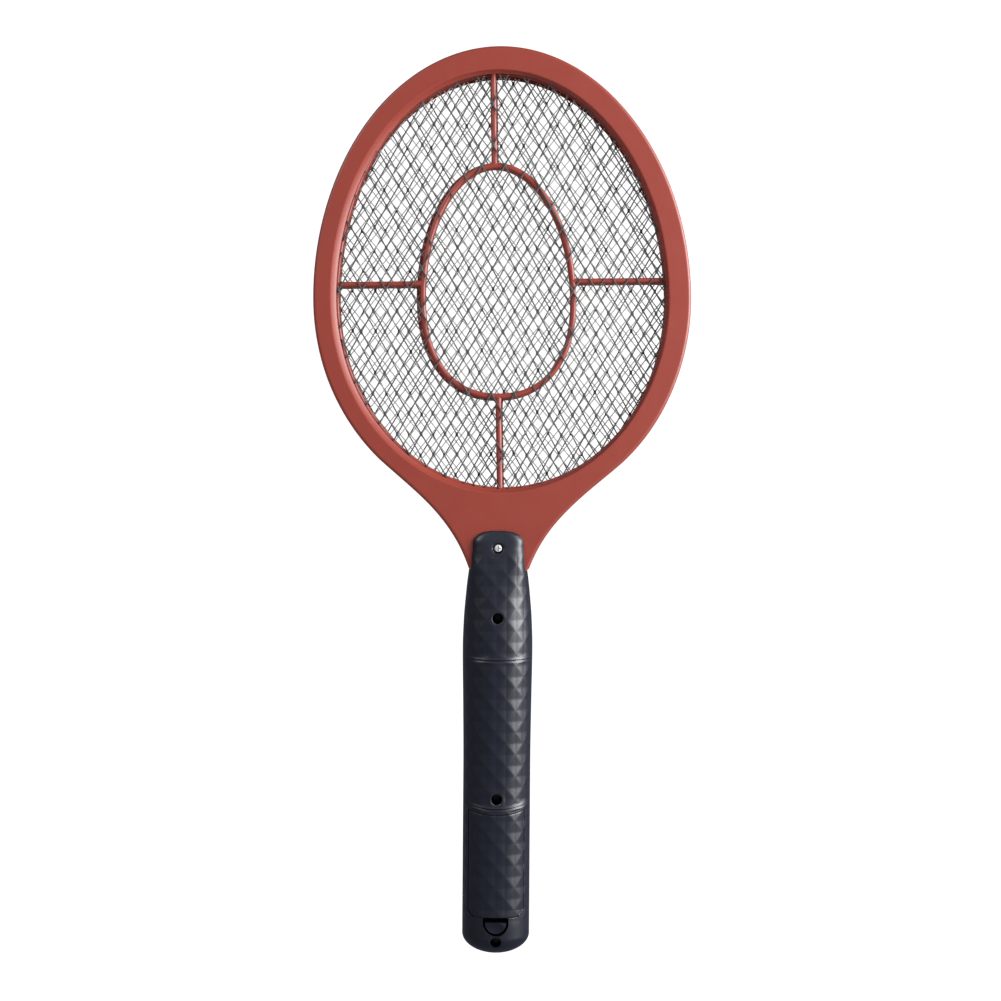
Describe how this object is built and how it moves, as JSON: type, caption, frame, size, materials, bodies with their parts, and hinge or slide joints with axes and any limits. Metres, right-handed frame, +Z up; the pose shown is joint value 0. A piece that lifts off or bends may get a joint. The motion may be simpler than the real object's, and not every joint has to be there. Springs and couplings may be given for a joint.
{
  "type": "electric fly swatter",
  "caption": "Racket-shaped electric insect swatter: egg-shaped rim with layered wire nets and an inner ring, and a straight pitted grip with a battery door and a push button.",
  "frame": {"origin": "on the handle's axis, 115 mm above its butt end, where the hand holds it", "axes": "+Z up the handle towards the head, -Y the rear face with the battery door and screws, +Y the front with the button"},
  "size_m": [0.1902, 0.034, 0.4584],
  "materials": {
    "red_plastic": "satin",
    "dark_plastic": "satin",
    "button_plastic": "satin",
    "outer_net_steel": "dull wire",
    "middle_net_steel": "bright wire",
    "screw_steel": "bright",
    "contact_steel": "nickel plated",
    "board_laminate": "satin",
    "ferrite": "matte",
    "winding_tape": "satin",
    "capacitor_film": "gloss",
    "disc_ceramic": "satin",
    "black_resin": "matte",
    "resistor_body": "satin",
    "led_lens": "clear gloss",
    "cell_sleeve": "gloss",
    "red_insulation": "satin",
    "black_insulation": "satin"
  },
  "bodies": {
    "handle": {"rear_frame": "red_plastic", "front_frame": "red_plastic", "rear_spacer": "red_plastic", "front_spacer": "red_plastic", "rear_net": "outer_net_steel", "front_net": "outer_net_steel", "middle_net": "middle_net_steel", "handle_rear_shell": "dark_plastic", "handle_front_shell": "dark_plastic", "handle_screw_1": "screw_steel", "handle_screw_2": "screw_steel", "handle_screw_3": "screw_steel", "handle_screw_4": "screw_steel", "switch_body": "black_resin", "circuit_board": "board_laminate", "board_screw_1": "screw_steel", "board_screw_2": "screw_steel", "transformer_core": "ferrite", "transformer_winding": "winding_tape", "hv_capacitor": "capacitor_film", "drive_transistor": "black_resin", "drive_resistor": "resistor_body", "diode_1": "black_resin", "diode_2": "black_resin", "diode_3": "black_resin", "multiplier_capacitor_1": "disc_ceramic", "multiplier_capacitor_2": "disc_ceramic", "bleed_resistor": "resistor_body", "indicator_led": "led_lens", "battery_1": "cell_sleeve", "battery_2": "cell_sleeve", "positive_contact": "contact_steel", "negative_contact": "contact_steel", "bridge_contact": "contact_steel", "battery_lead_positive": "red_insulation", "battery_lead_negative": "black_insulation", "rear_net_lead": "black_insulation", "middle_net_lead": "red_insulation", "front_net_lead": "black_insulation"},
    "button": {"push_button": "button_plastic"},
    "plunger": {"switch_plunger": "black_resin"},
    "door": {"battery_door": "dark_plastic"},
    "latch": {"door_latch": "dark_plastic"}
  },
  "joints": [
    {"name": "button_press", "type": "slide", "parent": "handle", "child": "button", "axis": [0, -1, 0], "range_m": [0, 0.001], "stiffness_N_per_m": 900, "springref_m": -0.0006},
    {"name": "plunger_press", "type": "slide", "parent": "handle", "child": "plunger", "axis": [0, -1, 0], "range_m": [0, 0.0012]},
    {"name": "door_swing", "type": "hinge", "parent": "handle", "child": "door", "pos_m": [0, -0.0154, -0.0428], "axis": [-1, 0, 0], "range_deg": [0, 75]},
    {"name": "latch_press", "type": "slide", "parent": "door", "child": "latch", "axis": [0, 0, 1], "range_m": [0, 0.0012], "stiffness_N_per_m": 1500, "springref_m": -0.0004}
  ],
  "couplings": [
    {"joint": "plunger_press", "follows": "button_press", "ratio": 1}
  ]
}
